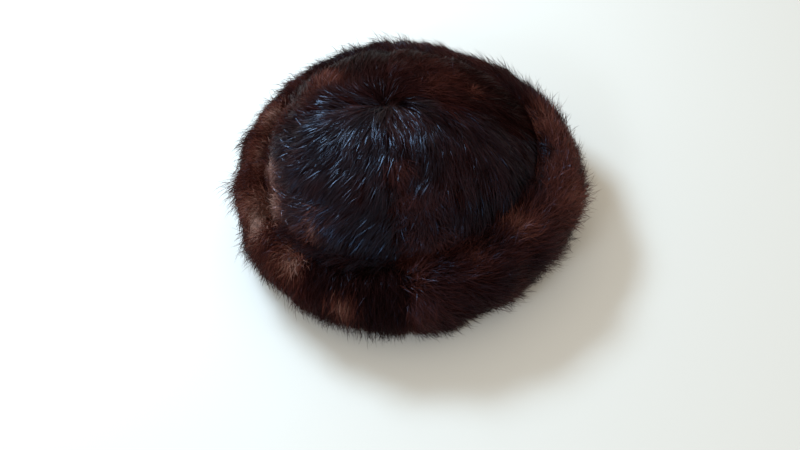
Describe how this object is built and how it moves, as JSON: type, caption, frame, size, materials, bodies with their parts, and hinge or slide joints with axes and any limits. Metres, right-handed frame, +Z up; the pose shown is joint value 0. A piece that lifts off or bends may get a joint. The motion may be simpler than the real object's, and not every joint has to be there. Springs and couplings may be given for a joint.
{
  "type": "fur hat",
  "caption": "Dark brown mink fur hat with a domed crown of sewn gores and a thick padded roll brim, open underneath for the head.",
  "frame": {"origin": "middle of the hat's outline, on the surface that its foot rests on", "axes": "+Z up through the crown, -Y towards the hat's front, the side with the seam that the picture is taken from, +X towards the right side in the picture"},
  "size_m": [0.2732, 0.2712, 0.1142],
  "materials": {
    "crown_front_left_fur": "glossy dark mink",
    "crown_front_right_fur": "glossy dark mink",
    "crown_back_right_fur": "glossy dark mink",
    "crown_back_left_fur": "glossy dark mink",
    "brim_left_fur": "mink with a brown underfur",
    "brim_right_fur": "mink with a brown underfur"
  },
  "bodies": {
    "root": {"crown_front_left": "crown_front_left_fur", "crown_front_right": "crown_front_right_fur", "crown_back_right": "crown_back_right_fur", "crown_back_left": "crown_back_left_fur", "brim_left": "brim_left_fur", "brim_right": "brim_right_fur"}
  },
  "joints": []
}
